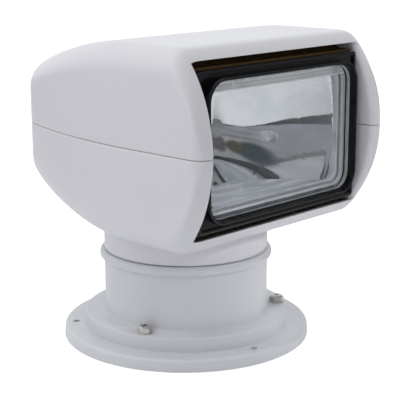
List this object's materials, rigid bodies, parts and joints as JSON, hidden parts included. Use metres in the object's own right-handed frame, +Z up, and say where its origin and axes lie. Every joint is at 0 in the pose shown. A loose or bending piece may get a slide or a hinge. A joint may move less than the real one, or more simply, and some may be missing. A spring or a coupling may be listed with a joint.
{
  "type": "marine searchlight",
  "caption": "White deck-mounted searchlight: a wedge-backed head pans on a round bolted column base and a rectangular sealed-beam lamp tilts inside the head's open front.",
  "frame": {"origin": "centre of the mounting flange's underside, on the pan axis", "axes": "+Z up along the pan axis; the lamp looks along -Y; the tilt axis lies along X"},
  "size_m": [0.2022, 0.2209, 0.2333],
  "materials": {
    "white_casting": "white enamel, semi-gloss",
    "white_abs": "white UV-stable moulding, semi-gloss",
    "rubber": "black, matt",
    "stainless": "stainless",
    "plate_alloy": "machined",
    "bush_plastic": "black acetal",
    "motor_can": "plated can",
    "pinion_brass": "machined",
    "gear_plastic": "natural acetal",
    "board": "green solder mask",
    "components": "black moulded parts",
    "black_bucket": "brown-black, glossy",
    "black_bezel": "black, glossy",
    "clear_glass": "clear pressed glass",
    "mirror_coat": "bright metallised",
    "ceramic_white": "unglazed"
  },
  "bodies": {
    "base": {"mounting_flange": "white_casting", "cable_grommet": "rubber", "column_gasket": "rubber", "base_column": "white_casting", "column_screws": "stainless", "bearing_plate": "plate_alloy", "plate_screws": "stainless", "upper_bush": "bush_plastic", "lower_bush": "bush_plastic", "pan_motor": "motor_can", "motor_screws": "stainless"},
    "pan_pinion": {"pan_pinion": "pinion_brass"},
    "head": {"lower_shell": "white_abs", "upper_shell": "white_abs", "shell_gasket": "rubber", "shell_screws": "stainless", "neck_seal": "rubber", "pan_shaft": "stainless", "shaft_screws": "stainless", "gear_spacer": "plate_alloy", "pan_gear": "gear_plastic", "retaining_ring": "stainless", "bearing_blocks": "bush_plastic", "block_screws": "stainless", "tilt_bushes": "bush_plastic", "tilt_motor": "motor_can", "tilt_bracket": "plate_alloy", "bracket_screws": "stainless", "receiver_board": "board", "board_parts": "components", "board_screws": "stainless"},
    "lamp": {"lamp_bucket": "black_bucket", "bezel": "black_bezel", "bezel_screws": "stainless", "lens_gasket": "rubber", "front_lens": "clear_glass", "reflector": "mirror_coat", "bulb_glass": "clear_glass", "filament": "stainless", "bulb_base": "stainless", "bulb_socket": "ceramic_white", "bulb_clip": "stainless", "tilt_pins": "stainless", "tilt_sector": "gear_plastic", "sector_screws": "stainless"},
    "tilt_pinion": {"tilt_pinion": "pinion_brass"}
  },
  "joints": [
    {"name": "head_pan", "type": "hinge", "parent": "base", "child": "head", "pos_m": [0, 0, 0.05], "axis": [0, 0, 1], "range_deg": [-165, 165]},
    {"name": "pan_pinion_spin", "type": "hinge", "parent": "base", "child": "pan_pinion", "pos_m": [0, 0.039, 0.05], "axis": [0, 0, 1], "range_deg": [-600, 600]},
    {"name": "lamp_tilt", "type": "hinge", "parent": "head", "child": "lamp", "pos_m": [0, -0.055, 0.16315], "axis": [-1, 0, 0], "range_deg": [-20, 20]},
    {"name": "tilt_pinion_spin", "type": "hinge", "parent": "head", "child": "tilt_pinion", "pos_m": [0.0825, -0.01158, 0.13275], "axis": [-1, 0, 0], "range_deg": [-110, 110]}
  ],
  "couplings": [
    {"joint": "pan_pinion_spin", "follows": "head_pan", "ratio": -3.3333},
    {"joint": "tilt_pinion_spin", "follows": "lamp_tilt", "ratio": -4.8889}
  ]
}
